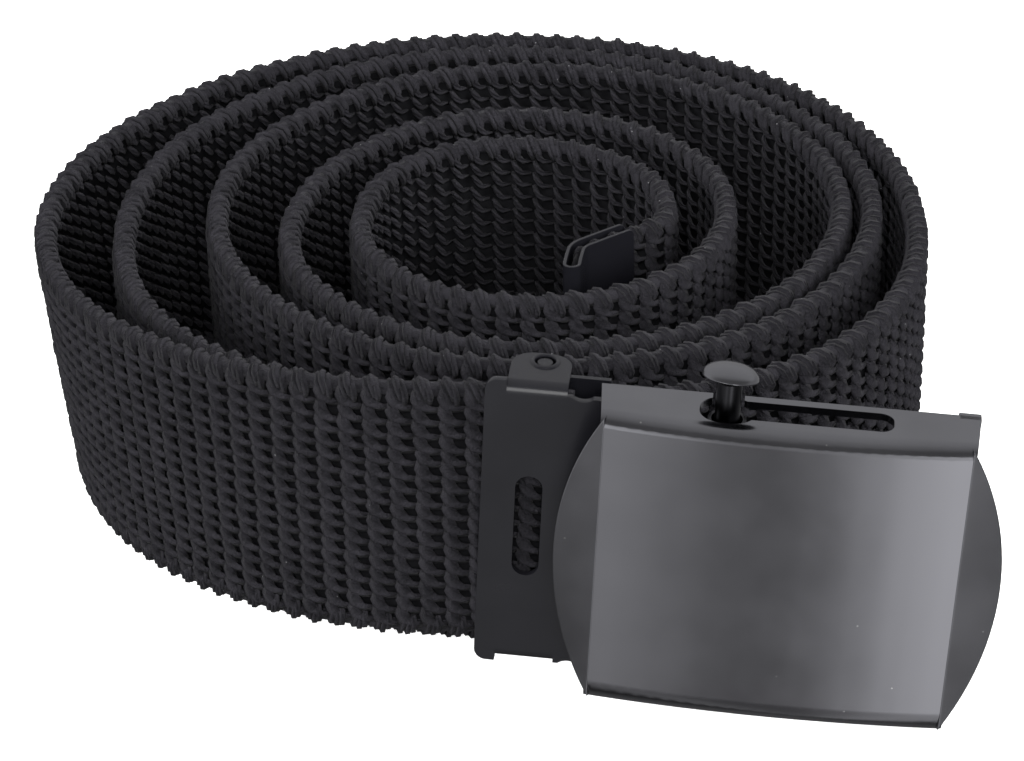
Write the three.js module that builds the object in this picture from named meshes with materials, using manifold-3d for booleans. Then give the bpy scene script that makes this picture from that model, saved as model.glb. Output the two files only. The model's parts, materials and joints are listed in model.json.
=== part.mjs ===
// A canvas web belt, rolled up and standing on its edge, with a box buckle clamped to its outer end.
// Millimetres, +Z up. The origin is on the surface that the belt stands on, in the middle of its outline.

import * as THREE from 'three';
import { mergeVertices } from 'three/addons/utils/BufferGeometryUtils.js';
import Module from 'manifold-3d';

const wasm = await Module();
wasm.setup();

// The webbing
const webWidth = 31.75;
const webThickness = 2.8;
const webEdgeRadius = 1.1;
const webStepAngle = 7.5;

// The roll: how far the webbing's middle lies from the roll's axis, as shares of rollReach.
// A row for each turn, from the buckle inwards, going round by the left.
const rollReach = 51;
const rollTurns = [
  { front: 1.027, frontLeft: 0.980, left: 0.992, backLeft: 0.953, back: 0.945, backRight: 0.975, right: 1.000, frontRight: 1.043 },
  { front: 0.890, frontLeft: 0.875, left: 0.802, backLeft: 0.814, back: 0.865, backRight: 0.896, right: 0.910, frontRight: 0.876 },
  { front: 0.745, frontLeft: 0.637, left: 0.598, backLeft: 0.649, back: 0.753, backRight: 0.827, right: 0.841, frontRight: 0.798 },
  { front: 0.667, frontLeft: 0.520, left: 0.414, backLeft: 0.408, back: 0.482, backRight: 0.545, right: 0.575, frontRight: 0.563 },
  { front: 0.457, frontLeft: 0.333, left: 0.257, backLeft: 0.267, back: 0.318, backRight: 0.382, right: 0.437 },
];
const rowAngle = 45;

// The free end leaves the last turn in short runs: length as a share of rollReach, and the bend over it in degrees.
const freeEnd = [
  { run: 0.060, bend: 10 },
  { run: 0.085, bend: 50 },
  { run: 0.190, bend: -2 },
  { run: 0.040, bend: -42 },
  { run: 0.070, bend: -4 },
];
const freeEndSteps = 3;

// The outer turn leans outwards at the left, and its foot is pulled in there.
const flareInset = 2.8;
const flareMiddle = 85;
const flareSpread = 80;

// The outer turn climbs from the surface to the clamp over this much of the turn.
const climbEnd = 78;

// The buckle as a whole
const sheet = 0.8;
const gap = 0.3;
const buckleYaw = -6.85;
const buckleTilt = 3.5;

// The cover: the curved front of the box with its top and bottom flanges. The webbing passes between the flanges.
const coverLength = 37.4;
const passagePlay = 1.25;
const coverHeight = webWidth + 2 * (sheet + passagePlay);
const coverDepth = 6.4;
const coverBulge = 1.25;
const coverBend = 1.6;
const flangeOverhang = 0.45;
const lobeWidth = 4.3;
const lobeAngle = 15;
const lobeCorner = 0.4;
const lugLength = 2.3;
const lugDepth = 0.6;

// The slots in both flanges, in which the slider runs
const slotStart = 9.75;
const slotEnd = 29.1;
const slotMiddle = 3.5;
const slotHalfWidth = 1.8;
const slotCorner = 1.4;
const slotMouth = 3.2;

// The slider: a round bar between the flanges, with a pin in the lower slot and a knob above the upper one
const barRadius = 1.95;
const barPinRadius = 1.5;
const barPlay = 0.9;
const barChamfer = 0.2;
const stemRadius = 1.3;
const stemSeat = 1.0;
const knobRadius = 2.8;
const knobNeck = 3.6;
const knobRim = 0.25;
const knobDome = 1.0;

// The end clamp: a plate over the end of the webbing, with a flap at the top and the bottom
const clampDepth = 6.2;
const clampLeft = -12.3;
const clampRight = 0.8;
const clampBottom = 1.0;
const clampTop = clampBottom + webWidth + 2 * (sheet + gap);
const clampCorner = 1.3;
const clampLip = 0.3;
const clampBend = 1.2;
const flapLeft = -10.1;
const flapRight = -3.85;
const flapReach = 6.8;
const flapCorner = 2.1;
const windowWidth = 2.84;
const windowLength = 12.2;
const windowMiddle = -7.3;
const reliefRadius = 1.6;
const reliefDepth = 0.4;

// The pivots of the end clamp, at the top and the bottom
const pivotAlong = -6.65;
const pivotDepth = 11.2;
const pivotRadius = 0.8;

// The back frame that the clamp shuts against
const frameSheet = 0.6;
const frameLeft = -9.9;
const frameRight = 4.5;
const frameNeck = -0.3;
const frameEar = 1.7;
const frameTabStart = 1.4;
const frameNeckDrop = 0.6;
const frameTabReach = 3.2;

// Where the webbing lies in the clamp
const webEndAlong = -3.3;
const webJoinAlong = -11.5;

// The tip on the free end
const tipSheet = 0.4;
const tipLength = 12.6;
const tipGap = 1.3;
const tipPinch = tipGap - 2 * gap;
const tipTaper = 5;

const degrees = Math.PI / 180;
const facets = 24;

function toSolid(geometry) {
  const plain = geometry.clone();
  plain.deleteAttribute('normal');
  plain.deleteAttribute('uv');
  const merged = mergeVertices(plain, 1e-4);
  return new wasm.Manifold(new wasm.Mesh({
    numProp: 3,
    vertProperties: new Float32Array(merged.attributes.position.array),
    triVerts: new Uint32Array(merged.index.array),
  }));
}

function toGeometry(solid) {
  const mesh = solid.getMesh();
  const geometry = new THREE.BufferGeometry();
  geometry.setAttribute('position', new THREE.BufferAttribute(new Float32Array(mesh.vertProperties), 3));
  geometry.setIndex(new THREE.BufferAttribute(new Uint32Array(mesh.triVerts), 1));
  geometry.computeVertexNormals();
  return geometry;
}

function joined(first, ...others) {
  return others.reduce((sum, solid) => sum.add(solid), first);
}

// A slab with a plan outline, standing from one height to another
function standing(shape, bottom, top, bevel = 0) {
  const geometry = new THREE.ExtrudeGeometry(shape, {
    depth: top - bottom - 2 * bevel,
    curveSegments: bevel > 0 ? facets / 2 : facets / 6,
    bevelEnabled: bevel > 0,
    bevelThickness: bevel,
    bevelSize: bevel,
    bevelOffset: -bevel,
    bevelSegments: 4,
  });
  geometry.translate(0, 0, bottom + bevel);
  return toSolid(geometry);
}

// A slab with an outline drawn on the buckle's front, reaching from one depth to another
function facing(shape, front, back) {
  const geometry = new THREE.ExtrudeGeometry(shape, {
    depth: back - front,
    curveSegments: facets / 4,
    bevelEnabled: false,
  });
  geometry.rotateX(Math.PI / 2);
  geometry.translate(0, back, 0);
  return toSolid(geometry);
}

function block(left, right, front, back, bottom, top) {
  const geometry = new THREE.BoxGeometry(right - left, back - front, top - bottom);
  geometry.translate((left + right) / 2, (front + back) / 2, (bottom + top) / 2);
  return toSolid(geometry);
}

function post(x, y, radius, bottom, top) {
  const geometry = new THREE.CylinderGeometry(radius, radius, top - bottom, facets);
  geometry.rotateX(Math.PI / 2);
  geometry.translate(x, y, (bottom + top) / 2);
  return toSolid(geometry);
}

function outline(points) {
  return new THREE.Shape(points.map(([x, y]) => new THREE.Vector2(x, y)));
}

// A rectangle with its own radius at each corner, counted from the lower left and going round to the right
function roundedRectangle(left, right, bottom, top, radii) {
  const [lowerLeft, lowerRight, upperRight, upperLeft] = radii;
  const shape = new THREE.Shape();
  shape.moveTo(left + lowerLeft, bottom);
  shape.lineTo(right - lowerRight, bottom);
  if (lowerRight > 0) shape.absarc(right - lowerRight, bottom + lowerRight, lowerRight, -Math.PI / 2, 0);
  shape.lineTo(right, top - upperRight);
  if (upperRight > 0) shape.absarc(right - upperRight, top - upperRight, upperRight, 0, Math.PI / 2);
  shape.lineTo(left + upperLeft, top);
  if (upperLeft > 0) shape.absarc(left + upperLeft, top - upperLeft, upperLeft, Math.PI / 2, Math.PI);
  shape.lineTo(left, bottom + lowerLeft);
  if (lowerLeft > 0) shape.absarc(left + lowerLeft, bottom + lowerLeft, lowerLeft, Math.PI, Math.PI * 1.5);
  return shape;
}

// The roll's reach at any angle, through the rows of the table
const reaches = rollTurns.flatMap((turn) => Object.values(turn));
const rollEnd = (reaches.length - 1) * rowAngle;

function reachAt(angle) {
  const place = Math.min(Math.max(angle / rowAngle, 0), reaches.length - 1);
  const row = Math.min(Math.floor(place), reaches.length - 2);
  const part = place - row;
  const at = (i) => reaches[Math.min(Math.max(i, 0), reaches.length - 1)];
  const startSlope = (at(row + 1) - at(row - 1)) / 2;
  const endSlope = (at(row + 2) - at(row)) / 2;
  const share = at(row) * (1 + 2 * part) * (1 - part) ** 2
    + startSlope * part * (1 - part) ** 2
    + at(row + 1) * part * part * (3 - 2 * part)
    + endSlope * part * part * (part - 1);
  return share * rollReach;
}

function rollPoint(angle) {
  const reach = reachAt(angle);
  return new THREE.Vector2(-reach * Math.sin(angle * degrees), -reach * Math.cos(angle * degrees));
}

// The buckle's place: its web channel meets the roll at the front, and its lower right corner stands on the surface
const webDepth = clampDepth + sheet + gap + webThickness / 2;
const webSill = clampBottom + sheet + gap;
const buckleMatrix = new THREE.Matrix4().makeRotationFromEuler(
  new THREE.Euler(0, buckleTilt * degrees, buckleYaw * degrees, 'ZYX'));
const joinInBuckle = new THREE.Vector3(webJoinAlong, webDepth, 0).applyMatrix4(buckleMatrix);
const joinOnRoll = rollPoint(0);
buckleMatrix.setPosition(
  joinOnRoll.x - joinInBuckle.x,
  joinOnRoll.y - joinInBuckle.y,
  (coverLength + flangeOverhang) * Math.sin(buckleTilt * degrees));

// Sections of the webbing from the clamped end to the free end: the foot's middle, the top's middle and the thickness
function webSections() {
  const sections = [];
  const add = (foot, top, thickness) => sections.push({ foot, top, thickness });
  const clampSteps = 3;
  for (let i = 0; i < clampSteps; i++) {
    const along = webEndAlong + (webJoinAlong - webEndAlong) * i / clampSteps;
    add(
      new THREE.Vector3(along, webDepth, webSill).applyMatrix4(buckleMatrix),
      new THREE.Vector3(along, webDepth, webSill + webWidth).applyMatrix4(buckleMatrix),
      webThickness);
  }
  const joinHeight = new THREE.Vector3(webJoinAlong, webDepth, webSill).applyMatrix4(buckleMatrix).z;
  const turnSteps = Math.round(rollEnd / webStepAngle);
  for (let i = 0; i <= turnSteps; i++) {
    const angle = rollEnd * i / turnSteps;
    const point = rollPoint(angle);
    const rest = Math.min(angle / climbEnd, 1);
    const height = joinHeight * (1 - rest * rest * (3 - 2 * rest));
    const lean = Math.max(0, Math.cos(Math.min(Math.abs(angle - flareMiddle) / flareSpread, 1) * Math.PI / 2)) ** 2;
    const inward = point.clone().multiplyScalar(-flareInset * lean / point.length());
    add(
      new THREE.Vector3(point.x + inward.x, point.y + inward.y, height),
      new THREE.Vector3(point.x, point.y, height + webWidth),
      webThickness);
  }
  for (const [place, travelled] of freeEndPath()) {
    const taper = Math.min(Math.max((travelled - (freeEndLength - tipLength - tipTaper)) / tipTaper, 0), 1);
    const thickness = webThickness + (tipPinch - webThickness) * taper;
    if (travelled < freeEndLength - tipSheet - gap) {
      add(new THREE.Vector3(place.x, place.y, 0), new THREE.Vector3(place.x, place.y, webWidth), thickness);
    }
  }
  return sections;
}

const freeEndLength = freeEnd.reduce((sum, row) => sum + row.run * rollReach, 0);

// Points along the free end, each with the length travelled so far
function freeEndPath() {
  const path = [];
  const last = rollPoint(rollEnd);
  const before = rollPoint(rollEnd - 1);
  const place = last.clone();
  let heading = Math.atan2(last.y - before.y, last.x - before.x);
  let travelled = 0;
  for (const row of freeEnd) {
    for (let i = 0; i < freeEndSteps; i++) {
      const stride = row.run * rollReach / freeEndSteps;
      heading -= row.bend * degrees / freeEndSteps / 2;
      place.x += stride * Math.cos(heading);
      place.y += stride * Math.sin(heading);
      heading -= row.bend * degrees / freeEndSteps / 2;
      travelled += stride;
      path.push([place.clone(), travelled]);
    }
  }
  return path;
}

// The webbing is a strip with rounded selvages, swept through its sections.
function webbingGeometry() {
  const sections = webSections();
  const ring = (i) => {
    const { foot, top, thickness } = sections[i];
    const before = sections[Math.max(i - 1, 0)].foot;
    const after = sections[Math.min(i + 1, sections.length - 1)].foot;
    const along = after.clone().sub(before).setZ(0).normalize();
    const across = new THREE.Vector3(-along.y, along.x, 0);
    const up = top.clone().sub(foot).normalize();
    const edge = Math.min(webEdgeRadius, thickness * 0.4);
    const half = thickness / 2;
    const corners = [
      [-half, edge], [-half + edge * 0.8, 0], [half - edge * 0.8, 0], [half, edge],
      [half, webWidth - edge], [half - edge * 0.8, webWidth], [-half + edge * 0.8, webWidth], [-half, webWidth - edge],
    ];
    return corners.map(([out, height]) => foot.clone().addScaledVector(across, out).addScaledVector(up, height));
  };
  const rings = sections.map((section, i) => ring(i));
  const count = rings[0].length;
  const positions = rings.flat().flatMap((p) => [p.x, p.y, p.z]);
  const indices = [];
  for (let i = 0; i < rings.length - 1; i++) {
    for (let j = 0; j < count; j++) {
      const a = i * count + j;
      const b = i * count + (j + 1) % count;
      indices.push(a, b, b + count, a, b + count, a + count);
    }
  }
  for (let j = 1; j < count - 1; j++) {
    indices.push(0, j + 1, j);
    const end = (rings.length - 1) * count;
    indices.push(end, end + j, end + j + 1);
  }
  const geometry = new THREE.BufferGeometry();
  geometry.setAttribute('position', new THREE.BufferAttribute(new Float32Array(positions), 3));
  geometry.setIndex(indices);
  geometry.computeVertexNormals();
  return geometry;
}

// The tip is a thin sheet folded round the free end, open at both edges of the webbing.
function tipGeometry() {
  const path = freeEndPath()
    .filter(([, travelled]) => travelled > freeEndLength - tipLength)
    .map(([place]) => place);
  const side = (points, offset) => points.map((p, i) => {
    const before = points[Math.max(i - 1, 0)];
    const after = points[Math.min(i + 1, points.length - 1)];
    const along = after.clone().sub(before).normalize();
    return [p.x - along.y * offset, p.y + along.x * offset];
  });
  const fold = path[path.length - 1];
  const heading = fold.clone().sub(path[path.length - 2]).angle();
  const foldArc = (radius, steps) => Array.from({ length: steps - 1 }, (unused, i) => {
    const turn = heading + Math.PI / 2 - Math.PI * (i + 1) / steps;
    return [fold.x + radius * Math.cos(turn), fold.y + radius * Math.sin(turn)];
  });
  const inner = tipGap / 2;
  const outer = inner + tipSheet;
  const foldSteps = 8;
  const points = [
    ...side(path, outer),
    ...foldArc(outer, foldSteps),
    ...side(path, -outer).reverse(),
    ...side(path, -inner),
    ...foldArc(inner, foldSteps).reverse(),
    ...side(path, inner).reverse(),
  ];
  return toGeometry(standing(outline(points), 0, webWidth));
}

// The face of the cover is an arc in plan, with its ends on the line where depth is zero.
const faceRadius = (coverLength ** 2 / 4 + coverBulge ** 2) / (2 * coverBulge);

function boxPlan(wall, margin) {
  const radius = faceRadius - wall;
  const middle = new THREE.Vector2(coverLength / 2, faceRadius - coverBulge);
  const reach = Math.asin((coverLength / 2 + margin) / radius);
  const back = coverDepth + margin;
  const shape = new THREE.Shape();
  shape.absarc(middle.x, middle.y, radius, -Math.PI / 2 - reach, -Math.PI / 2 + reach);
  shape.lineTo(coverLength + margin, back);
  shape.lineTo(-margin, back);
  return shape;
}

// A lobe is a circular segment bent back from an end of the face.
function lobe() {
  const half = coverHeight / 2 - lobeCorner;
  const radius = (half * half + lobeWidth * lobeWidth) / (2 * lobeWidth);
  const reach = Math.asin(half / radius);
  const shape = new THREE.Shape();
  shape.moveTo(sheet / 2, coverHeight / 2 - half);
  shape.lineTo(sheet / 2, coverHeight / 2 + half);
  shape.lineTo(0, coverHeight / 2 + half);
  shape.absarc(radius - lobeWidth, coverHeight / 2, radius, Math.PI - reach, Math.PI + reach);
  return facing(shape, 0, sheet).rotate([0, 0, -lobeAngle]);
}

function slotPlan() {
  const left = slotStart;
  const front = slotMiddle - slotHalfWidth;
  const back = slotMiddle + slotHalfWidth;
  return roundedRectangle(left, slotEnd, front, back, [slotHalfWidth, slotCorner, slotCorner, slotHalfWidth]);
}

const barAlong = slotStart + slotHalfWidth + barPlay;

function coverGeometry() {
  const margin = 4;
  const outer = standing(boxPlan(0, margin), 0, coverHeight, coverBend);
  const inner = standing(boxPlan(sheet, 2 * margin), sheet, coverHeight - sheet, coverBend - sheet);
  const clip = standing(outline([
    [0, -margin], [coverLength, -margin], [coverLength, sheet],
    [coverLength + flangeOverhang, 2 * sheet], [coverLength + flangeOverhang, coverDepth],
    [-flangeOverhang, coverDepth], [-flangeOverhang, 2 * sheet], [0, sheet],
  ]), -margin, coverHeight + margin);
  const slot = standing(slotPlan(), -margin, coverHeight + margin);
  const mouth = block(
    barAlong - slotMouth / 2, barAlong + slotMouth / 2,
    slotMiddle, coverDepth + margin, -margin, coverHeight + margin);
  const leftLobe = lobe();
  const rightLobe = leftLobe.mirror([1, 0, 0]).translate([coverLength, 0, 0]);
  const lug = block(
    coverLength + flangeOverhang - lugLength, coverLength + flangeOverhang,
    coverDepth - sheet, coverDepth + lugDepth, coverHeight - sheet, coverHeight);
  const box = outer.subtract(inner).intersect(clip).subtract(slot).subtract(mouth);
  return toGeometry(joined(box, leftLobe, rightLobe, lug));
}

// The bar stands between the flanges. Its pin runs in the lower slot, and its top holds the knob's stem in a round seat.
const barTop = coverHeight - sheet - gap;

function barGeometry() {
  const pinBottom = 0.1;
  const bottom = sheet + gap;
  const seatRadius = stemRadius + gap;
  const seatFloor = barTop - stemSeat - gap;
  const profile = [
    [0, pinBottom], [barPinRadius, pinBottom], [barPinRadius, bottom],
    [barRadius - barChamfer, bottom], [barRadius, bottom + barChamfer],
    [barRadius, barTop], [seatRadius, barTop], [seatRadius, seatFloor], [0, seatFloor],
  ];
  return turned(profile);
}

// The knob's stem runs in the upper slot.
function knobGeometry() {
  const bottom = barTop - stemSeat;
  const underside = coverHeight + knobNeck;
  const rim = underside + knobRim;
  const domeSteps = 5;
  const dome = Array.from({ length: domeSteps }, (unused, i) => {
    const turn = (i + 1) / domeSteps * Math.PI / 2;
    return [knobRadius * Math.cos(turn), rim + knobDome * Math.sin(turn)];
  });
  dome[domeSteps - 1][0] = 0;
  return turned([[0, bottom], [stemRadius, bottom], [stemRadius, underside], [knobRadius, underside], [knobRadius, rim], ...dome]);
}

// A turned piece on the slider's axis
function turned(profile) {
  const geometry = new THREE.LatheGeometry(profile.map(([r, z]) => new THREE.Vector2(r, z)), facets);
  geometry.rotateX(Math.PI / 2);
  geometry.translate(barAlong, slotMiddle, 0);
  return toGeometry(toSolid(geometry));
}

// Both flaps of the clamp in one channel, rounded at the bends and at the free corners
function clampFlaps() {
  const reach = clampDepth + flapReach;
  const ring = (inset, radius) => roundedRectangle(
    clampDepth + inset, reach + flapReach, clampBottom + inset, clampTop - inset, [radius, 0, 0, radius]);
  const across = (shape) => {
    const geometry = new THREE.ExtrudeGeometry(shape, {
      depth: flapRight - flapLeft,
      curveSegments: facets / 4,
      bevelEnabled: false,
    });
    geometry.rotateX(Math.PI / 2);
    geometry.rotateZ(Math.PI / 2);
    geometry.translate(flapLeft, 0, 0);
    return toSolid(geometry);
  };
  const channel = across(ring(0, clampBend)).subtract(across(ring(sheet, clampBend - sheet)));
  const tongue = roundedRectangle(flapLeft, flapRight, clampDepth, reach, [0, 0, flapCorner, flapCorner]);
  return channel.intersect(standing(tongue, clampBottom, clampTop));
}

function clampGeometry() {
  const front = clampDepth;
  const back = clampDepth + sheet;
  const edge = roundedRectangle(
    clampLeft, flapLeft, clampBottom - clampLip, clampTop + clampLip, [clampCorner, 0, 0, clampCorner]);
  const middle = roundedRectangle(
    flapLeft - sheet, flapRight + sheet, clampBottom + clampBend, clampTop - clampBend, [0, 0, 0, 0]);
  const tongueTop = Math.min(clampTop, coverHeight) - sheet - gap;
  const tongueBottom = Math.max(clampBottom, sheet + gap);
  const inside = roundedRectangle(flapRight, clampRight, tongueBottom, tongueTop, [0, 0, 0, 0]);
  const plate = joined(facing(edge, front, back), facing(middle, front, back), facing(inside, front, back), clampFlaps());
  const windowCentre = (clampBottom + clampTop) / 2;
  const window = facing(roundedRectangle(
    windowMiddle - windowWidth / 2, windowMiddle + windowWidth / 2,
    windowCentre - windowLength / 2, windowCentre + windowLength / 2,
    Array(4).fill(windowWidth / 2 - 0.001)), front - sheet, back + sheet);
  const relief = (height) => {
    const round = new THREE.Shape();
    round.absarc(flapRight + reliefRadius, height, reliefRadius, 0, Math.PI * 2);
    return facing(round, front - sheet, back + sheet);
  };
  const holes = post(pivotAlong, pivotDepth, pivotRadius + gap, clampBottom - sheet, clampTop + sheet);
  return toGeometry(plate
    .subtract(window)
    .subtract(relief(tongueTop + reliefRadius - reliefDepth))
    .subtract(relief(tongueBottom - reliefRadius + reliefDepth))
    .subtract(holes));
}

// The back frame stands behind the webbing. Ears at its top and bottom carry the clamp's pivots,
// and tabs reach forward under the flanges of the cover.
function backFrameGeometry() {
  const front = webDepth + webThickness / 2 + gap;
  const back = front + frameSheet;
  const top = clampTop - sheet - gap;
  const bottom = webSill;
  const neckBottom = sheet + gap;
  const wall = block(frameLeft, frameNeck + frameSheet, front, back, bottom, top);
  const neckTop = top - frameNeckDrop;
  const neck = block(frameNeck, frameRight, front, back, neckBottom, neckTop);
  const ear = (from, to) => block(frameLeft, flapRight - gap, front, back + frameEar, from, to);
  const tab = (from, to) => joined(
    block(frameNeck, frameRight, clampDepth + sheet + 2 * gap, back, from, to),
    block(frameTabStart, frameRight, frameTabReach, back, from, to));
  return toGeometry(joined(
    wall,
    neck,
    ear(top - frameSheet, top),
    ear(bottom, bottom + frameSheet),
    tab(neckTop - frameSheet, neckTop),
    tab(neckBottom, neckBottom + frameSheet),
    post(pivotAlong, pivotDepth, pivotRadius, top - frameSheet, clampTop),
    post(pivotAlong, pivotDepth, pivotRadius, clampBottom, bottom + frameSheet)));
}

const canvas = () => new THREE.MeshStandardMaterial({ color: 0x2b2b30, roughness: 0.95, metalness: 0 });
const blackened = () => new THREE.MeshStandardMaterial({ color: 0x3a3a3f, roughness: 0.4, metalness: 0.6 });

function piece(name, geometry, material) {
  const mesh = new THREE.Mesh(geometry, material);
  mesh.name = name;
  return mesh;
}

const buckle = new THREE.Group();
buckle.add(
  piece('buckle_cover', coverGeometry(), blackened()),
  piece('end_clamp', clampGeometry(), blackened()),
  piece('back_frame', backFrameGeometry(), blackened()),
  piece('slider_bar', barGeometry(), blackened()),
  piece('slider_knob', knobGeometry(), blackened()));
buckle.applyMatrix4(buckleMatrix);

const roll = new THREE.Group();
roll.add(
  piece('webbing', webbingGeometry(), canvas()),
  piece('belt_tip', tipGeometry(), blackened()),
  buckle);

// The origin goes to the middle of the outline, on the surface below.
roll.updateMatrixWorld(true);
const bounds = new THREE.Box3().setFromObject(roll, true);
const centre = bounds.getCenter(new THREE.Vector3());
roll.position.set(-centre.x, -centre.y, -bounds.min.z);

const belt = new THREE.Group();
belt.add(roll);

export default belt;
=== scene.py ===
"""A rolled canvas web belt with a box buckle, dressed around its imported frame. Metres, +Z up."""
import json
import math

import bmesh
import bpy
import numpy as np
from mathutils import Euler, Matrix, Vector


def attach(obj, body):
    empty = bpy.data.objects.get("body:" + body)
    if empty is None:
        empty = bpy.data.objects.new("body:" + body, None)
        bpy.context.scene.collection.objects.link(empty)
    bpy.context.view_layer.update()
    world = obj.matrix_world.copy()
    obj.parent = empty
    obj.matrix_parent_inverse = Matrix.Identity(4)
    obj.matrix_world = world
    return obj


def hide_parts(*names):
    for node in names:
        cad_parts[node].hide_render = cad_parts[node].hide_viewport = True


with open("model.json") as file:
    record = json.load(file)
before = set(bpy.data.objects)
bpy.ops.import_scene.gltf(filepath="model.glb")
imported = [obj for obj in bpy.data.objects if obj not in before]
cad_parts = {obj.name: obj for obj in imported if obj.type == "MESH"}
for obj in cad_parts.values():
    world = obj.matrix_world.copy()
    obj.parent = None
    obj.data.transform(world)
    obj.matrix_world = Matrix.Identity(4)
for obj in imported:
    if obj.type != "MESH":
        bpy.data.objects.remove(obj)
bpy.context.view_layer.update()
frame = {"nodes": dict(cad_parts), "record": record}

MM = 0.001
BELT = "belt"
SLIDER = "slider"

# The webbing, as the part has it
WEB_WIDTH = 31.75 * MM
WEB_THICKNESS = 2.8 * MM

# The weave: ribs across the webbing, and rows of stitches along it
RIB_PITCH = 2.67 * MM
ROWS = 17
ROW_PITCH = WEB_WIDTH / (ROWS + 2)
FIRST_ROW = 1.5
RIBS_PER_PIECE = 84
YARN_SIDES = 5

# The middle of the webbing round the roll, as shares of its reach, turn by turn from the buckle inwards
ROLL_REACH = 51 * MM
ROW_ANGLE = 45
ROLL_TURNS = (
    dict(front=1.027, front_left=0.980, left=0.992, back_left=0.953,
         back=0.945, back_right=0.975, right=1.000, front_right=1.043),
    dict(front=0.890, front_left=0.875, left=0.802, back_left=0.814,
         back=0.865, back_right=0.896, right=0.910, front_right=0.876),
    dict(front=0.745, front_left=0.637, left=0.598, back_left=0.649,
         back=0.753, back_right=0.827, right=0.841, front_right=0.798),
    dict(front=0.667, front_left=0.520, left=0.414, back_left=0.408,
         back=0.482, back_right=0.545, right=0.575, front_right=0.563),
    dict(front=0.457, front_left=0.333, left=0.257, back_left=0.267,
         back=0.318, back_right=0.382, right=0.437),
)

# The free end in short runs: their lengths as shares of the reach, and their bends in degrees
FREE_END = (
    dict(run=0.060, bend=10),
    dict(run=0.085, bend=50),
    dict(run=0.190, bend=-2),
    dict(run=0.040, bend=-42),
    dict(run=0.070, bend=-4),
)
FREE_END_STEPS = 12
CLAMPED_STEPS = 12
ROLL_STEP = 1.5

# The lean of the outer turn, and its climb to the clamp
FLARE_INSET = 2.8 * MM
FLARE_MIDDLE = 85
FLARE_SPREAD = 80
CLIMB_END = 78

# The buckle, as the part has it
SHEET = 0.8 * MM
GAP = 0.3 * MM
BUCKLE_YAW = -6.85
BUCKLE_TILT = 3.5
COVER_LENGTH = 37.4 * MM
COVER_HEIGHT = 35.85 * MM
COVER_DEPTH = 6.4 * MM
COVER_BULGE = 1.25 * MM
COVER_BEND_ABOVE = 1.5 * MM
COVER_BEND_BELOW = 3.8 * MM
FLANGE_OVERHANG = 0.45 * MM
LOBE_WIDTH = 4.3 * MM
LOBE_ANGLE = 15
LOBE_TOP_CORNER = 0.9 * MM
LOBE_BOTTOM_CORNER = 2.2 * MM
LUG_LENGTH = 2.3 * MM
LUG_DEPTH = 0.6 * MM
SLOT_START = 9.75 * MM
SLOT_END = 29.1 * MM
SLOT_MIDDLE = 3.5 * MM
SLOT_HALF_WIDTH = 1.8 * MM
SLOT_CORNER = 1.4 * MM
SLOT_MOUTH = 3.2 * MM
EYE_HALF_LENGTH = 2.8 * MM
EYE_FRONT = 0.7 * MM
EYE_BACK = 5.7 * MM
EYE_CORNER = 2.2 * MM
BAR_RADIUS = 1.95 * MM
BAR_PIN_RADIUS = 1.5 * MM
BAR_PIN_FOOT = 0.1 * MM
BAR_PLAY = 0.9 * MM
BAR_CHAMFER = 0.2 * MM
STEM_RADIUS = 1.3 * MM
STEM_SEAT = 1.0 * MM
KNOB_RADIUS = 2.9 * MM
KNOB_NECK = 3.6 * MM
KNOB_RIM = 0.14 * MM
KNOB_DOME = 1.35 * MM
KNOB_FILLET = 0.35 * MM
KNOB_LEAN = 14
KNOB_DROOP = 4
CLAMP_DEPTH = 6.2 * MM
CLAMP_BOTTOM = 1.0 * MM
CLAMP_TOP = CLAMP_BOTTOM + WEB_WIDTH + 2 * (SHEET + GAP)
CLAMP_LEFT = -12.3 * MM
CLAMP_RIGHT = 0.8 * MM
CLAMP_CORNER = 1.3 * MM
CLAMP_LIP = 0.3 * MM
CLAMP_BEND = 1.2 * MM
FLAP_LEFT = -10.1 * MM
FLAP_RIGHT = -3.85 * MM
FLAP_REACH = 6.8 * MM
FLAP_CORNER = 2.4 * MM
WINDOW_WIDTH = 2.84 * MM
WINDOW_LENGTH = 12.2 * MM
WINDOW_MIDDLE = -7.3 * MM
RELIEF_RADIUS = 1.6 * MM
RELIEF_DEPTH = 0.4 * MM
PIVOT_ALONG = -6.65 * MM
PIVOT_DEPTH = 11.2 * MM
PIVOT_RADIUS = 0.8 * MM
WEB_DEPTH = CLAMP_DEPTH + SHEET + GAP + WEB_THICKNESS / 2
WEB_END_ALONG = -3.3 * MM
WEB_JOIN_ALONG = -11.5 * MM
TIP_SHEET = 0.4 * MM
TIP_LENGTH = 12.6 * MM
TIP_GAP = 1.3 * MM
TIP_TAPER = 5 * MM
TIP_CORNER = 0.9 * MM
TIP_FOLD_STEP = 15

rng = np.random.default_rng(11)


# The webbing's course

def reach_at(angle):
    reaches = [share for turn in ROLL_TURNS for share in turn.values()]
    place = min(max(angle / ROW_ANGLE, 0), len(reaches) - 1)
    row = min(int(place), len(reaches) - 2)
    part = place - row

    def at(i):
        return reaches[min(max(i, 0), len(reaches) - 1)]

    start_slope = (at(row + 1) - at(row - 1)) / 2
    end_slope = (at(row + 2) - at(row)) / 2
    share = (at(row) * (1 + 2 * part) * (1 - part) ** 2 + start_slope * part * (1 - part) ** 2
             + at(row + 1) * part * part * (3 - 2 * part) + end_slope * part * part * (part - 1))
    return share * ROLL_REACH


def roll_axis():
    """The part's resting edge is on the middle of the webbing, half a turn round from the buckle."""
    mount = next(m for m in frame["record"]["mounts"] if m["name"] == "resting_edge")
    return Vector((mount["pos_m"][0], mount["pos_m"][1] - reach_at(180), 0))


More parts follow.
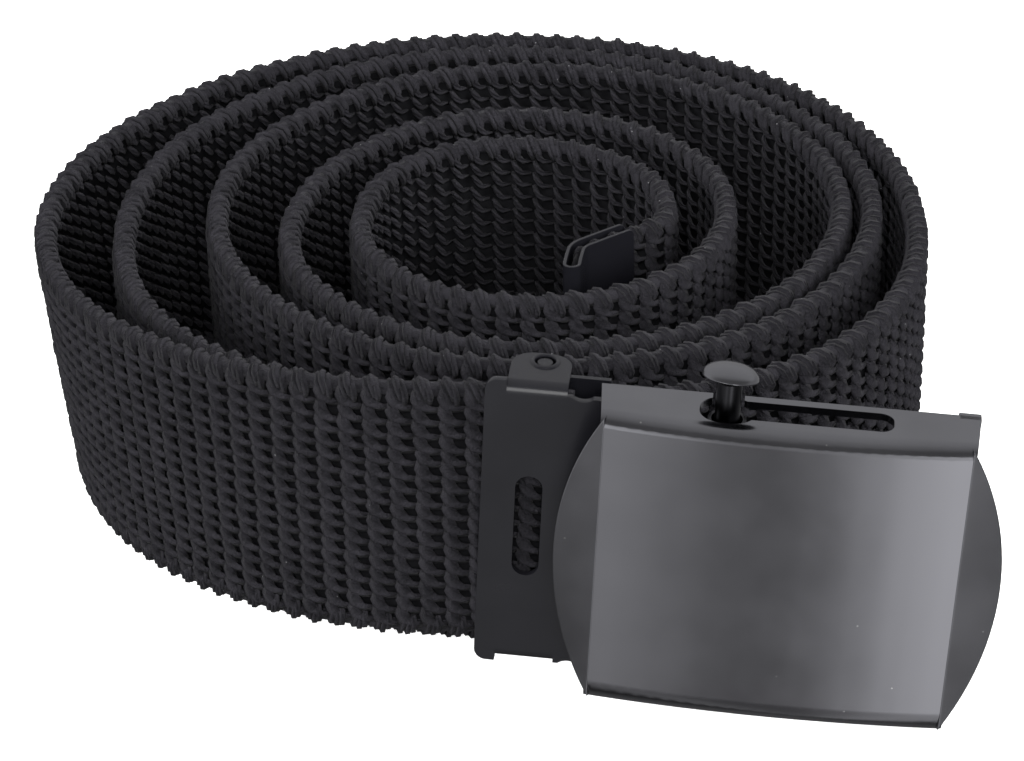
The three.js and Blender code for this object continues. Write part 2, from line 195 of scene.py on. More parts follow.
ROLL_AXIS = roll_axis()
ROLL_END = ROW_ANGLE * (sum(len(turn) for turn in ROLL_TURNS) - 1)


def roll_point(angle):
    reach = reach_at(angle)
    turn = math.radians(angle)
    return ROLL_AXIS + Vector((-reach * math.sin(turn), -reach * math.cos(turn), 0))


def buckle_matrix():
    """From the buckle's own directions (along, back, up) to the part's frame."""
    turned = Euler((0, math.radians(BUCKLE_TILT), math.radians(BUCKLE_YAW)), "XYZ").to_matrix().to_4x4()
    join = turned @ Vector((WEB_JOIN_ALONG, WEB_DEPTH, 0))
    place = roll_point(0) - join
    place.z = (COVER_LENGTH + FLANGE_OVERHANG) * math.sin(math.radians(BUCKLE_TILT))
    return Matrix.Translation(place) @ turned


BUCKLE = buckle_matrix()


def free_end_points():
    """Points along the free end, each with the length travelled so far."""
    last = roll_point(ROLL_END)
    before = roll_point(ROLL_END - 1)
    heading = math.atan2(last.y - before.y, last.x - before.x)
    place = last.copy()
    travelled = 0
    points = []
    for row in FREE_END:
        stride = row["run"] * ROLL_REACH / FREE_END_STEPS
        turn = math.radians(row["bend"]) / FREE_END_STEPS
        for _ in range(FREE_END_STEPS):
            heading -= turn / 2
            place = place + Vector((math.cos(heading), math.sin(heading), 0)) * stride
            heading -= turn / 2
            travelled += stride
            points.append((place, travelled))
    return points


def web_stations():
    """The webbing's foot, top and thickness at stations from its clamped end to its free end."""
    sill = CLAMP_BOTTOM + SHEET + GAP
    stations = []
    for along in np.linspace(WEB_END_ALONG, WEB_JOIN_ALONG, CLAMPED_STEPS)[:-1]:
        foot = BUCKLE @ Vector((along, WEB_DEPTH, sill))
        stations.append((foot, BUCKLE @ Vector((along, WEB_DEPTH, sill + WEB_WIDTH)), WEB_THICKNESS))
    join_height = (BUCKLE @ Vector((WEB_JOIN_ALONG, WEB_DEPTH, sill))).z
    for angle in np.arange(0, ROLL_END + 1, ROLL_STEP):
        point = roll_point(angle)
        rest = min(angle / CLIMB_END, 1)
        height = join_height * (1 - rest * rest * (3 - 2 * rest))
        off_middle = min(abs(angle - FLARE_MIDDLE) / FLARE_SPREAD, 1)
        lean = math.cos(off_middle * math.pi / 2) ** 2
        inward = (point - ROLL_AXIS).normalized() * (-FLARE_INSET * lean)
        foot = point + inward + Vector((0, 0, height))
        stations.append((foot, point + Vector((0, 0, height + WEB_WIDTH)), WEB_THICKNESS))
    free_end = free_end_points()
    length = free_end[-1][1]
    pinch = TIP_GAP - 2 * GAP
    for place, travelled in free_end:
        taper = min(max((travelled - (length - TIP_LENGTH - TIP_TAPER)) / TIP_TAPER, 0), 1)
        if travelled < length - TIP_SHEET - GAP:
            thickness = WEB_THICKNESS + (pinch - WEB_THICKNESS) * taper
            stations.append((place.copy(), place + Vector((0, 0, WEB_WIDTH)), thickness))
    return stations


class WebCourse:
    """Wraps what lies flat (along, up, out of the webbing's middle) onto the webbing's course."""

    def __init__(self, stations):
        self.foot = np.array([s[0] for s in stations])
        self.top = np.array([s[1] for s in stations])
        self.thick = np.array([s[2] for s in stations]) / WEB_THICKNESS
        middle = (self.foot + self.top) / 2
        steps = np.linalg.norm(np.diff(middle, axis=0), axis=1)
        self.along = np.concatenate([[0], np.cumsum(steps)])
        heading = np.gradient(middle, self.along, axis=0)
        heading[:, 2] = 0
        heading /= np.linalg.norm(heading, axis=1)[:, None]
        self.out = np.stack([-heading[:, 1], heading[:, 0], np.zeros(len(heading))], axis=1)
        self.up = (self.top - self.foot) / WEB_WIDTH
        self.length = self.along[-1]

    def at(self, values, along):
        columns = [np.interp(along, self.along, values[:, i]) for i in range(values.shape[1])]
        return np.stack(columns, axis=1)

    def wrap(self, flat):
        along = flat[:, 0]
        thick = np.interp(along, self.along, self.thick)
        out = self.at(self.out, along)
        up = self.at(self.up, along) * flat[:, 1:2]
        return self.at(self.foot, along) + up + out * (flat[:, 2] * thick)[:, None]


# Meshes

def new_piece(name, mesh, body, slot, *replaced):
    piece = bpy.data.objects.new(name, mesh)
    bpy.context.scene.collection.objects.link(piece)
    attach(piece, body)
    if replaced:
        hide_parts(*replaced)
    return piece


def to_mesh(bm, name, smooth=True):
    for face in bm.faces:
        face.smooth = smooth
    mesh = bpy.data.meshes.new(name)
    bm.to_mesh(mesh)
    bm.free()
    return mesh


def evaluated(mesh, *modifiers):
    """The mesh with modifiers applied, each given as its type and its settings."""
    holder = bpy.data.objects.new("holder", mesh)
    bpy.context.scene.collection.objects.link(holder)
    for kind, settings in modifiers:
        modifier = holder.modifiers.new(kind, kind)
        for key, value in settings.items():
            setattr(modifier, key, value)
    bpy.context.view_layer.update()
    result = bpy.data.meshes.new_from_object(holder.evaluated_get(bpy.context.evaluated_depsgraph_get()))
    bpy.data.objects.remove(holder)
    return result


def repeated(mesh, count, step):
    return evaluated(mesh, ("ARRAY", dict(count=count, use_relative_offset=False,
                                          use_constant_offset=True, constant_offset_displace=step)))


def joined(name, *meshes):
    bm = bmesh.new()
    for mesh in meshes:
        bm.from_mesh(mesh)
    result = bpy.data.meshes.new(name)
    bm.to_mesh(result)
    bm.free()
    return result


def coordinates(mesh):
    flat = np.empty(len(mesh.vertices) * 3)
    mesh.vertices.foreach_get("co", flat)
    return flat.reshape(-1, 3)


def set_coordinates(mesh, points):
    mesh.vertices.foreach_set("co", np.ascontiguousarray(points, dtype=np.float32).ravel())
    mesh.update()


# The weave

def yarn(course, girths, facing, flatness=1.0, sides=YARN_SIDES):
    """Yarn along a course of points. Its UV map runs round it and along it, for the twist of its plies."""
    bm = bmesh.new()
    bmesh.ops.create_cone(bm, cap_ends=True, segments=sides, radius1=1, radius2=1, depth=1)
    lengthwise = [e for e in bm.edges if abs(e.verts[0].co.z - e.verts[1].co.z) > 0.5]
    bmesh.ops.subdivide_edges(bm, edges=lengthwise, cuts=len(course) - 2)
    uv = bm.loops.layers.uv.new("yarn")
    last = len(course) - 1
    place = {}
    for vert in bm.verts:
        station = round((vert.co.z + 0.5) * last)
        round_it = math.atan2(vert.co.y, vert.co.x) / (2 * math.pi)
        place[vert] = (round_it, station)
        heading = (course[min(station + 1, last)] - course[max(station - 1, 0)]).normalized()
        side = heading.cross(facing).normalized()
        lift = side.cross(heading)
        girth = girths[station]
        vert.co = course[station] + side * (vert.co.x * girth) + lift * (vert.co.y * girth * flatness)
    for face in bm.faces:
        first = place[face.loops[0].vert][0]
        for loop in face.loops:
            round_it, station = place[loop.vert]
            loop[uv].uv = (round_it - round(round_it - first), station / last)
    bmesh.ops.recalc_face_normals(bm, faces=bm.faces[:])
    return to_mesh(bm, "yarn")


# A stitch on either face, seen from that side: right of its rib in ribs, high in rows, out and girth in mm
OUTER_STITCH = (
    dict(right=-0.16, high=0.86, out=0.66, girth=0.50),
    dict(right=-0.15, high=0.38, out=0.82, girth=0.80),
    dict(right=-0.05, high=-0.12, out=0.84, girth=0.82),
    dict(right=0.26, high=-0.44, out=0.80, girth=0.52),
    dict(right=0.66, high=-0.52, out=0.62, girth=0.38),
)
INNER_STITCH = (
    dict(right=-0.26, high=0.58, out=0.45, girth=0.30),
    dict(right=-0.14, high=0.27, out=0.92, girth=0.40),
    dict(right=0.02, high=-0.07, out=1.02, girth=0.44),
    dict(right=0.20, high=-0.38, out=0.86, girth=0.36),
    dict(right=0.62, high=-0.50, out=0.30, girth=0.28),
)
STITCH_FLATNESS = 0.7

# A strand over the selvage: along in ribs, its share of the strands' spread, below the edge and out in mm
LOOP = (
    dict(along=-0.14, spread=0.60, below=2.60, out=0.62, girth=0.34),
    dict(along=-0.14, spread=0.85, below=1.60, out=0.94, girth=0.42),
    dict(along=-0.02, spread=1.00, below=0.68, out=0.74, girth=0.42),
    dict(along=0.10, spread=1.00, below=0.44, out=0.00, girth=0.43),
    dict(along=0.20, spread=1.00, below=0.68, out=-0.74, girth=0.42),
    dict(along=0.34, spread=0.85, below=1.60, out=-0.94, girth=0.42),
    dict(along=0.40, spread=0.60, below=2.60, out=-0.62, girth=0.34),
)
STRANDS = (-0.21, 0.0, 0.21)
STRAND_DROP = 0.32 * MM
RIB_PHASE = 0.5


def stitch(side):
    """side is 1 for the outer face and -1 for the inner one, whose ribs stand half a rib further on."""
    rows = OUTER_STITCH if side > 0 else INNER_STITCH
    phase = 0 if side > 0 else RIB_PHASE * RIB_PITCH
    course = []
    for row in rows:
        along = phase - side * row["right"] * RIB_PITCH
        course.append(Vector((along, row["high"] * ROW_PITCH, side * row["out"] * MM)))
    return yarn(course, [row["girth"] * MM for row in rows], Vector((0, 0, 1)), STITCH_FLATNESS)


def selvage_loop(strand, top):
    """The outer strands of a loop lie lower than its middle one, which leaves a notch between loops."""
    course = []
    for row in LOOP:
        below = row["below"] * MM + abs(strand) / STRANDS[-1] * STRAND_DROP
        height = WEB_WIDTH - below if top else below
        along = (row["along"] + strand * row["spread"]) * RIB_PITCH
        course.append(Vector((along, height, row["out"] * MM)))
    return yarn(course, [row["girth"] * MM for row in LOOP], Vector((1, 0, 0)))


def rib():
    """One rib across the webbing: its stitches on both faces and its loops over both selvages."""
    cell = joined("cell", stitch(1), stitch(-1))
    for vert in cell.vertices:
        vert.co.y += ROW_PITCH * FIRST_ROW
    stitches = repeated(cell, ROWS, (0, ROW_PITCH, 0))
    loops = [selvage_loop(strand, top) for top in (False, True) for strand in STRANDS]
    return stitches, loops


def jittered(points, groups, per_group, shake):
    """Moves each group of points a little, as one."""
    ribs = points.shape[0]
    shaken = points.reshape(ribs, groups, per_group, 3)
    return (shaken + rng.normal(0, 1, (ribs, groups, 1, 3)) * shake).reshape(ribs, groups * per_group, 3)


STITCH_SHAKE = np.array([0.07, 0.07, 0.04]) * MM
LOOP_SHAKE = np.array([0.04, 0.05, 0.03]) * MM


def webbing(course, canvas):
    stitches, loops = rib()
    flat_rib = joined("rib", stitches, *loops)
    stitch_points = len(stitches.vertices) // (2 * ROWS)
    loop_points = len(loops[0].vertices)
    edge = 2 * ROWS * stitch_points
    count = int(course.length / RIB_PITCH)
    for number, first in enumerate(range(0, count, RIBS_PER_PIECE), 1):
        ribs = min(RIBS_PER_PIECE, count - first)
        mesh = repeated(flat_rib, ribs, (RIB_PITCH, 0, 0))
        points = coordinates(mesh).reshape(ribs, -1, 3)
        points[:, :edge] = jittered(points[:, :edge], 2 * ROWS, stitch_points, STITCH_SHAKE)
        points[:, edge:] = jittered(points[:, edge:], len(loops), loop_points, LOOP_SHAKE)
        points[:, :, 0] += (first + 0.5) * RIB_PITCH
        flat = points.reshape(-1, 3)
        flat[:, 1] = np.clip(flat[:, 1], 0, WEB_WIDTH)
        set_coordinates(mesh, course.wrap(flat))
        mesh.materials.append(canvas)
        new_piece(f"webbing_{number}", mesh, BELT, "canvas", "webbing")


GROUND_THICKNESS = 0.6 * MM
GROUND_INSET = 1.0 * MM
GROUND_STEP = 1.5 * MM
EDGE_CORD_RADIUS = 0.80 * MM
EDGE_CORD_BELOW = 1.35 * MM
EDGE_CORD_SIDES = 10


def webbing_ground(course, painted_shade_ground):
    """The ground that shows between the stitches, in a near-black material that is painted shade."""
    bm = bmesh.new()
    bmesh.ops.create_cube(bm, size=1)
    lengthwise = [e for e in bm.edges if abs(e.verts[0].co.x - e.verts[1].co.x) > 0.5]
    bmesh.ops.subdivide_edges(bm, edges=lengthwise, cuts=int(course.length / GROUND_STEP))
    mesh = to_mesh(bm, "webbing_ground", smooth=False)
    cube = coordinates(mesh)
    flat = np.stack([
        (cube[:, 0] + 0.5) * course.length,
        GROUND_INSET + (cube[:, 1] + 0.5) * (WEB_WIDTH - 2 * GROUND_INSET),
        cube[:, 2] * GROUND_THICKNESS], axis=1)
    set_coordinates(mesh, course.wrap(flat))
    mesh.materials.append(painted_shade_ground)
    new_piece("webbing_ground", mesh, BELT, "canvas", "webbing")


def edge_cords(course, canvas):
    """The cord inside each selvage, which the loops wrap."""
    count = int(course.length / GROUND_STEP)
    for name, height in (("lower", EDGE_CORD_BELOW), ("upper", WEB_WIDTH - EDGE_CORD_BELOW)):
        points = [Vector((course.length * i / count, height, 0)) for i in range(count + 1)]
        mesh = yarn(points, [EDGE_CORD_RADIUS] * len(points), Vector((0, 0, 1)), sides=EDGE_CORD_SIDES)
        set_coordinates(mesh, course.wrap(coordinates(mesh)))
        mesh.materials.append(canvas)
        new_piece(f"selvage_cord_{name}", mesh, BELT, "canvas", "webbing")


# Materials

def new_material(name, **sockets):
    material = bpy.data.materials.new(name)
    material.use_nodes = True
    shader = material.node_tree.nodes["Principled BSDF"]
    for key, value in sockets.items():
        shader.inputs[key.replace("_", " ")].default_value = value
    return material, material.node_tree, shader


# The plies of a yarn: how many there are, and how often they turn round each other in a stitch
PLIES = 3
PLY_TURNS = 1.5


def maths(tree, operation, first, second=None, third=None):
    """A maths node whose inputs are sockets or plain numbers."""
    node = tree.nodes.new("ShaderNodeMath")
    node.operation = operation
    for socket, value in zip(node.inputs, (first, second, third)):
        if isinstance(value, bpy.types.NodeSocket):
            tree.links.new(value, socket)
        elif value is not None:
            socket.default_value = value
    return node.outputs[0]


def blended(tree, factor, first, second):
    """A mix of two colours, each a socket or a plain colour."""
    node = tree.nodes.new("ShaderNodeMix")
    node.data_type = "RGBA"
    for socket, value in zip((node.inputs["Factor"], *node.inputs[6:8]), (factor, first, second)):
        if isinstance(value, bpy.types.NodeSocket):
            tree.links.new(value, socket)
        else:
            socket.default_value = value
    return node.outputs[2]


def ranged(tree, value, start, end, first=0.0, last=1.0):
    node = tree.nodes.new("ShaderNodeMapRange")
    for key, number in (("From Min", start), ("From Max", end), ("To Min", first), ("To Max", last)):
        node.inputs[key].default_value = number
    tree.links.new(value, node.inputs["Value"])
    return node.outputs["Result"]


def noise(tree, where, scale, detail):
    node = tree.nodes.new("ShaderNodeTexNoise")
    node.inputs["Scale"].default_value = scale
    node.inputs["Detail"].default_value = detail
    tree.links.new(where, node.inputs["Vector"])
    return node.outputs["Fac"]


def tones(tree, factor, dark, light, start=0.35, end=0.65):
    node = tree.nodes.new("ShaderNodeValToRGB")
    first, last = node.color_ramp.elements
    first.position, first.color = start, (*dark, 1)
    last.position, last.color = end, (*light, 1)
    tree.links.new(factor, node.inputs["Fac"])
    return node.outputs["Color"]


def bumped(tree, height, strength, distance):
    node = tree.nodes.new("ShaderNodeBump")
    node.inputs["Strength"].default_value = strength
    node.inputs["Distance"].default_value = distance
    tree.links.new(height, node.inputs["Height"])
    return node.outputs["Normal"]


def object_place(tree):
    return tree.nodes.new("ShaderNodeTexCoord").outputs["Object"]


def canvas_material():
    """Black cotton: twisted plies and loose fibres in the bump, and the same plies and fibres painted into
    the colour: darker in the crevices between plies, as painted shade, and lighter on fine fibre specks, as
    painted highlight, with patches a little greyer at random.
    """
    material, tree, shader = new_material(
        "black_canvas", Roughness=0.8, Sheen_Weight=0.03, Sheen_Roughness=0.4, Specular_IOR_Level=0.25)
    uv = tree.nodes.new("ShaderNodeUVMap")
    uv.uv_map = "yarn"
    split = tree.nodes.new("ShaderNodeSeparateXYZ")
    tree.links.new(uv.outputs["UV"], split.inputs[0])
    where = object_place(tree)
    twist = maths(tree, "MULTIPLY_ADD", split.outputs["Y"], PLY_TURNS, maths(
        tree, "MULTIPLY", split.outputs["X"], PLIES))
    plies = maths(tree, "ABSOLUTE", maths(tree, "SINE", maths(tree, "MULTIPLY", twist, math.pi)))
    fibres = noise(tree, where, scale=5200, detail=2)
    height = maths(tree, "MULTIPLY_ADD", fibres, 0.8, plies)
    tree.links.new(bumped(tree, height, strength=1.0, distance=0.25 * MM), shader.inputs["Normal"])
    patches = noise(tree, where, scale=420, detail=3)
    # Painted shade in the crevices between plies and painted highlight on fibre specks, mixed with random
    # patches
    painted_shade_highlight_and_patches = maths(tree, "MULTIPLY_ADD", plies, 0.16, maths(tree, "MULTIPLY_ADD", fibres, 0.5, maths(
        tree, "MULTIPLY", patches, 0.5)))
    painted_shade_and_highlight_tone = tones(tree, painted_shade_highlight_and_patches, (0.0060, 0.0059, 0.0071), (0.0250, 0.0240, 0.0285), start=0.38, end=0.78)
    lint = dusted(tree, painted_shade_and_highlight_tone, (0.16, 0.16, 0.17), per_metre=420, size=0.035)
    tree.links.new(lint, shader.inputs["Base Color"])
    return material


def painted_shade_ground_material():
    """The bottom of the weave, where no light comes: its colour is painted near black, as painted shade."""
    material, tree, shader = new_material("canvas_ground_painted_shade", Roughness=0.95, Specular_IOR_Level=0.1)
    patches = noise(tree, object_place(tree), scale=900, detail=3)
    # Near black, as painted shade between the stitches
    shade = tones(tree, patches, (0.004, 0.004, 0.0045), (0.008, 0.008, 0.009))
    tree.links.new(shade, shader.inputs["Base Color"])
    return material


def dust_group():
    """Where a fine speck of dust or lint lies."""
    group = bpy.data.node_groups.new("dust", "ShaderNodeTree")
    for name, way in (("Spacing", "INPUT"), ("Size", "INPUT"), ("Speck", "OUTPUT")):
        group.interface.new_socket(name, in_out=way, socket_type="NodeSocketFloat")
    given = group.nodes.new("NodeGroupInput")
    cells = group.nodes.new("ShaderNodeTexVoronoi")
    group.links.new(object_place(group), cells.inputs["Vector"])
    group.links.new(given.outputs["Spacing"], cells.inputs["Scale"])
    speck = maths(group, "LESS_THAN", cells.outputs["Distance"], given.outputs["Size"])
    group.links.new(speck, group.nodes.new("NodeGroupOutput").inputs["Speck"])
    return group


def dusted(tree, colour, speck_colour, per_metre, size):
    """A colour with specks of dust on it."""
    node = tree.nodes.new("ShaderNodeGroup")
    node.node_tree = DUST
    node.inputs["Spacing"].default_value = per_metre
    node.inputs["Size"].default_value = size
    return blended(tree, node.outputs["Speck"], colour, (*speck_colour, 1))


def finish_group():
    """Blackened metal: a faint haze in its tone and gloss, and a fine grain."""
    group = bpy.data.node_groups.new("blackened_finish", "ShaderNodeTree")
    for name, kind in (("Dark", "Color"), ("Light", "Color"), ("Smoothest", "Float"), ("Roughest", "Float")):
        group.interface.new_socket(name, in_out="INPUT", socket_type="NodeSocket" + kind)
    for name, kind in (("Tone", "Color"), ("Roughness", "Float"), ("Normal", "Vector")):
        group.interface.new_socket(name, in_out="OUTPUT", socket_type="NodeSocket" + kind)
    given = group.nodes.new("NodeGroupInput")
    made = group.nodes.new("NodeGroupOutput")
    where = object_place(group)
    haze = ranged(group, noise(group, where, scale=130, detail=4), 0.3, 0.7)
    tone = blended(group, haze, given.outputs["Dark"], given.outputs["Light"])
    rough = group.nodes.new("ShaderNodeMapRange")
    group.links.new(haze, rough.inputs["Value"])
    group.links.new(given.outputs["Smoothest"], rough.inputs["To Min"])
    group.links.new(given.outputs["Roughest"], rough.inputs["To Max"])
    group.links.new(tone, made.inputs["Tone"])
    group.links.new(rough.outputs["Result"], made.inputs["Roughness"])
    grain = noise(group, where, scale=9000, detail=2)
    group.links.new(bumped(group, grain, strength=0.05, distance=0.02 * MM), made.inputs["Normal"])
    return group


def steel_material(name, colour, roughness, metallic=1.0, ior=1.5):
    material, tree, shader = new_material(name, IOR=ior, Metallic=metallic)
    finish = tree.nodes.new("ShaderNodeGroup")
    finish.node_tree = FINISH
    finish.inputs["Dark"].default_value = (*[c * 0.93 for c in colour], 1)
    finish.inputs["Light"].default_value = (*[c * 1.06 for c in colour], 1)
    finish.inputs["Smoothest"].default_value = roughness - 0.03
    finish.inputs["Roughest"].default_value = roughness + 0.03
    tone = dusted(tree, finish.outputs["Tone"], (0.5, 0.5, 0.5), per_metre=260, size=0.028)
    tree.links.new(tone, shader.inputs["Base Color"])
    tree.links.new(finish.outputs["Roughness"], shader.inputs["Roughness"])
    tree.links.new(finish.outputs["Normal"], shader.inputs["Normal"])
    return material


# The buckle's pieces

EDGE_ROUNDING = 0.12 * MM


def crisp(mesh, angle=35, rounding=EDGE_ROUNDING):
    """Rounds the sharp edges of a mesh a little, and shades it smooth with its flats kept flat."""
    bm = bmesh.new()
    bm.from_mesh(mesh)
    bmesh.ops.remove_doubles(bm, verts=bm.verts[:], dist=0.002 * MM)
    bmesh.ops.dissolve_degenerate(bm, dist=0.002 * MM, edges=bm.edges[:])
    bmesh.ops.dissolve_limit(bm, angle_limit=math.radians(0.5), verts=bm.verts[:], edges=bm.edges[:])
    bevel = dict(width=rounding, segments=2, limit_method="ANGLE", angle_limit=math.radians(angle))
    rounded = evaluated(to_mesh(bm, mesh.name), ("BEVEL", bevel))
    rounded.shade_smooth()
    return evaluated(rounded, ("WEIGHTED_NORMAL", dict(weight=100)))


def dressed_copy(node, material, slot):
    """A copy of a CAD node with merged vertices, joined flats and rounded edges."""
    mesh = crisp(frame["nodes"][node].data.copy())
    mesh.materials.clear()
    mesh.materials.append(material)
    new_piece(node + "_dressed", mesh, BELT, slot, node)


# How finely the sheet and the round pieces are divided
FLANGE_ROWS = 4
BEND_ROWS = 10
FACE_ROWS = 10
COVER_COLUMNS = 48
CORNER_STEPS = 12
LOBE_STEPS = 160
ROUND_STEPS = 48
ARC_STEPS = 6


def cover_section():
    """Depth and height along the middle of the cover's section."""
    def flange(bend):
        rows = [(COVER_DEPTH - (COVER_DEPTH - bend) * i / FLANGE_ROWS, 0) for i in range(FLANGE_ROWS)]
        for i in range(BEND_ROWS):
            turn = math.pi / 2 * i / BEND_ROWS
            rows.append((bend * (1 - math.sin(turn)), bend * (1 - math.cos(turn))))
        return rows

    face = COVER_HEIGHT - COVER_BEND_BELOW - COVER_BEND_ABOVE
    rows = flange(COVER_BEND_BELOW)
    rows += [(0, COVER_BEND_BELOW + face * i / FACE_ROWS) for i in range(FACE_ROWS + 1)]
    rows += [(depth, COVER_HEIGHT - height) for depth, height in reversed(flange(COVER_BEND_ABOVE))]
    return rows


def cover_bow(along):
    """How far the bowed face stands forward of its ends."""
    radius = (COVER_LENGTH ** 2 / 4 + COVER_BULGE ** 2) / (2 * COVER_BULGE)
    off = along - COVER_LENGTH / 2
    return math.sqrt(radius * radius - off * off) - (radius - COVER_BULGE)


def folded_sheet(bm, name):
    """Gives a folded surface its wall, with the surface itself on the outside."""
    bmesh.ops.recalc_face_normals(bm, faces=bm.faces[:])
    front = min(bm.faces, key=lambda f: f.calc_center_median().y)
    if front.normal.y > 0:
        bmesh.ops.reverse_faces(bm, faces=bm.faces[:])
    return evaluated(to_mesh(bm, name), ("SOLIDIFY", dict(thickness=SHEET, offset=-1, use_even_offset=True)))


def cover_box():
    rows = cover_section()
    bm = bmesh.new()
    bmesh.ops.create_grid(bm, x_segments=COVER_COLUMNS, y_segments=len(rows) - 1, size=1)
    for vert in bm.verts:
        share = (vert.co.x + 1) / 2
        depth, height = rows[round((vert.co.y + 1) / 2 * (len(rows) - 1))]
        along = COVER_LENGTH * share
        depth = COVER_DEPTH - (COVER_DEPTH - depth) * (1 + cover_bow(along) / COVER_DEPTH)
        spread = max(depth / COVER_DEPTH, 0) * FLANGE_OVERHANG
        vert.co = Vector((along + spread * (2 * share - 1), depth, height))
    return folded_sheet(bm, "cover_box")


def block(left, right, front, back, bottom, top, radius=0, along="z", keep=None):
    """A block whose edges along one direction are rounded, or those that keep picks by their middle."""
    bm = bmesh.new()
    bmesh.ops.create_cube(bm, size=1)
    bmesh.ops.scale(bm, vec=(right - left, back - front, top - bottom), verts=bm.verts[:])
    middle = ((left + right) / 2, (front + back) / 2, (bottom + top) / 2)
    bmesh.ops.translate(bm, vec=middle, verts=bm.verts[:])
    if radius:
        axis = "xyz".index(along)
        edges = [e for e in bm.edges if abs(e.verts[0].co[axis] - e.verts[1].co[axis]) > 1e-6]
        picked = [e for e in edges if keep is None or keep((e.verts[0].co + e.verts[1].co) / 2)]
        bmesh.ops.bevel(bm, geom=picked, offset=radius, segments=CORNER_STEPS, profile=0.5,
                        affect="EDGES", material=-1)
    return to_mesh(bm, "block")


def rod(place, radius, axis, half_length):
    bm = bmesh.new()
    bmesh.ops.create_cone(bm, cap_ends=True, segments=ROUND_STEPS, radius1=radius, radius2=radius,
                          depth=2 * half_length)
    if axis == "y":
        bmesh.ops.rotate(bm, cent=(0, 0, 0), matrix=Matrix.Rotation(math.pi / 2, 3, "X"), verts=bm.verts[:])
    bmesh.ops.translate(bm, vec=place, verts=bm.verts[:])
    return to_mesh(bm, "rod")


def combined(operation, mesh, others):
    """The mesh joined with others, or cut by them."""
    for other in others:
        tool = bpy.data.objects.new("tool", other)
        bpy.context.scene.collection.objects.link(tool)
        mesh = evaluated(mesh, ("BOOLEAN", dict(operation=operation, solver="EXACT", object=tool)))
        bpy.data.objects.remove(tool)
    return mesh


def lobe(at_right):
    """A segment of a disc, bent back from an end of the face."""
    half = (COVER_HEIGHT - LOBE_TOP_CORNER - LOBE_BOTTOM_CORNER) / 2
    radius = (half * half + LOBE_WIDTH ** 2) / (2 * LOBE_WIDTH)
    bm = bmesh.new()
    bmesh.ops.create_circle(bm, cap_ends=True, segments=LOBE_STEPS, radius=radius)
    bmesh.ops.translate(bm, vec=(radius - LOBE_WIDTH, 0, 0), verts=bm.verts[:])
    geom = bm.verts[:] + bm.edges[:] + bm.faces[:]
    bmesh.ops.bisect_plane(bm, geom=geom, plane_co=(SHEET / 2, 0, 0), plane_no=(1, 0, 0), clear_outer=True)
    slab = bmesh.ops.extrude_face_region(bm, geom=bm.faces[:])
    raised = [v for v in slab["geom"] if isinstance(v, bmesh.types.BMVert)]
    bmesh.ops.translate(bm, vec=(0, 0, -SHEET), verts=raised)
    bmesh.ops.recalc_face_normals(bm, faces=bm.faces[:])
    bmesh.ops.rotate(bm, cent=(0, 0, 0), matrix=Matrix.Rotation(math.radians(90), 3, "X"), verts=bm.verts[:])
    bmesh.ops.rotate(bm, cent=(0, 0, 0), matrix=Matrix.Rotation(math.radians(-LOBE_ANGLE), 3, "Z"),
                     verts=bm.verts[:])
    if at_right:
        bmesh.ops.scale(bm, vec=(-1, 1, 1), verts=bm.verts[:])
        bmesh.ops.reverse_faces(bm, faces=bm.faces[:])
        bmesh.ops.translate(bm, vec=(COVER_LENGTH, 0, 0), verts=bm.verts[:])
    bmesh.ops.translate(bm, vec=(0, 0, LOBE_BOTTOM_CORNER + half), verts=bm.verts[:])
    return to_mesh(bm, "lobe")


BAR_ALONG = SLOT_START + SLOT_HALF_WIDTH + BAR_PLAY


def in_place(name, mesh, body, slot, material, *replaced):
    """Puts a finished mesh of the buckle where the buckle is."""
    mesh.transform(BUCKLE)
    mesh.materials.clear()
    mesh.materials.append(material)
    return new_piece(name, mesh, body, slot, *replaced)


def buckle_cover(steel):
    beyond = 4 * MM
    slot = block(SLOT_START, SLOT_END, SLOT_MIDDLE - SLOT_HALF_WIDTH, SLOT_MIDDLE + SLOT_HALF_WIDTH,
                 -beyond, COVER_HEIGHT + beyond, SLOT_CORNER)
    eye = block(BAR_ALONG - EYE_HALF_LENGTH, BAR_ALONG + EYE_HALF_LENGTH, EYE_FRONT, EYE_BACK,
                COVER_HEIGHT - 2 * SHEET, COVER_HEIGHT + beyond, EYE_CORNER)
    mouth = block(BAR_ALONG - SLOT_MOUTH / 2, BAR_ALONG + SLOT_MOUTH / 2, SLOT_MIDDLE, COVER_DEPTH + beyond,
                  -beyond, COVER_HEIGHT + beyond)
    box = crisp(combined("DIFFERENCE", cover_box(), [slot, eye, mouth]), angle=40)
    right = COVER_LENGTH + FLANGE_OVERHANG
    lug = block(right - LUG_LENGTH, right, COVER_DEPTH - SHEET, COVER_DEPTH + LUG_DEPTH,
                COVER_HEIGHT - SHEET, COVER_HEIGHT)
    mesh = joined("buckle_cover", box, crisp(lobe(False)), crisp(lobe(True)), crisp(lug))
    return in_place("cover_shell", mesh, BELT, "blackened_sheet", steel, "buckle_cover")


